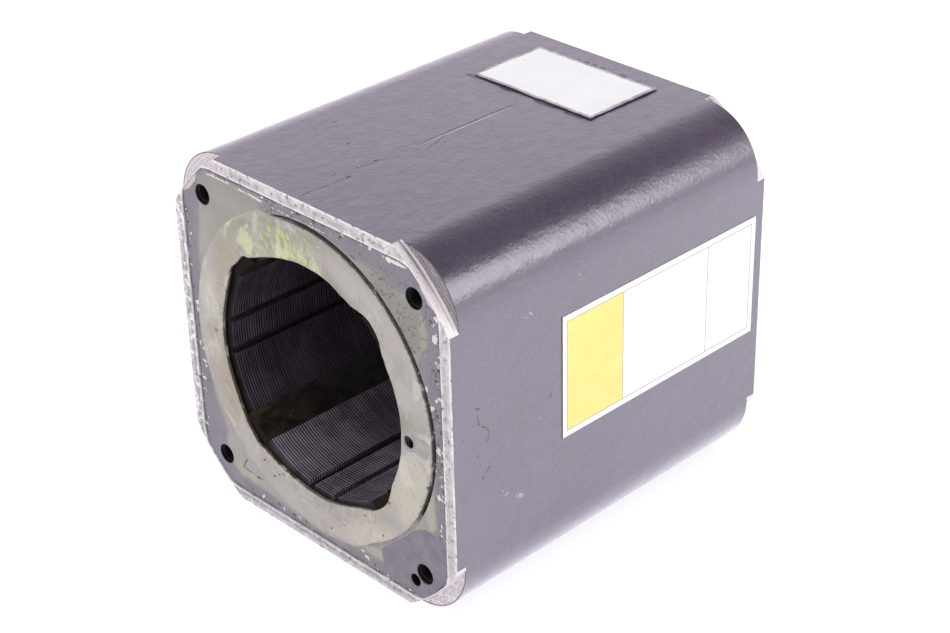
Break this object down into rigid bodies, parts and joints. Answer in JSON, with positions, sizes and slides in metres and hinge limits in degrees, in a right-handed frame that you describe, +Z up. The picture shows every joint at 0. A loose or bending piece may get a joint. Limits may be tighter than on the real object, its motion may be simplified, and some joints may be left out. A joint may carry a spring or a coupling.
{
  "type": "electric motor stator",
  "caption": "Square electric motor stator with rounded corners, end plates, potting rings and a slotted laminated bore for the rotor.",
  "frame": {"origin": "on the bore axis, in the face of the front end plate", "axes": "+Y along the bore into the stator, +X to the label side, +Z up"},
  "size_m": [0.1553, 0.1746, 0.1562],
  "materials": {
    "housing_paint": "semi-gloss dark purplish-grey paint, scratched",
    "plate_grey": "thin grey overspray on steel, bare at the rim",
    "laminations": "dark varnished steel laminations",
    "potting_resin": "cream potting resin, stained",
    "interpole_resin": "dark brown resin",
    "slot_liner": "black slot insulation",
    "corner_putty": "smooth grey filler",
    "lead_patch_grey": "grey sealing compound",
    "nameplate_foil": "blank foil plate with worn edges",
    "label_vinyl": "blank white and yellow label"
  },
  "bodies": {
    "root": {"housing_sleeve": "housing_paint", "front_end_plate": "plate_grey", "rear_end_plate": "plate_grey", "lamination_yoke": "laminations", "front_potting_ring": "potting_resin", "rear_potting_ring": "potting_resin", "filled_corner": "corner_putty", "groove_fill": "potting_resin", "lead_patch": "lead_patch_grey", "nameplate": "nameplate_foil", "side_label": "label_vinyl", "pole_right": "laminations", "slot_liner_right_a": "slot_liner", "slot_liner_right_b": "slot_liner", "pole_top": "laminations", "slot_liner_top_a": "slot_liner", "slot_liner_top_b": "slot_liner", "pole_left": "laminations", "slot_liner_left_a": "slot_liner", "slot_liner_left_b": "slot_liner", "pole_bottom": "laminations", "slot_liner_bottom_a": "slot_liner", "slot_liner_bottom_b": "slot_liner", "interpole_resin_top_right": "interpole_resin", "interpole_resin_top_left": "interpole_resin", "interpole_resin_bottom_left": "interpole_resin", "interpole_resin_bottom_right": "interpole_resin"}
  },
  "joints": []
}
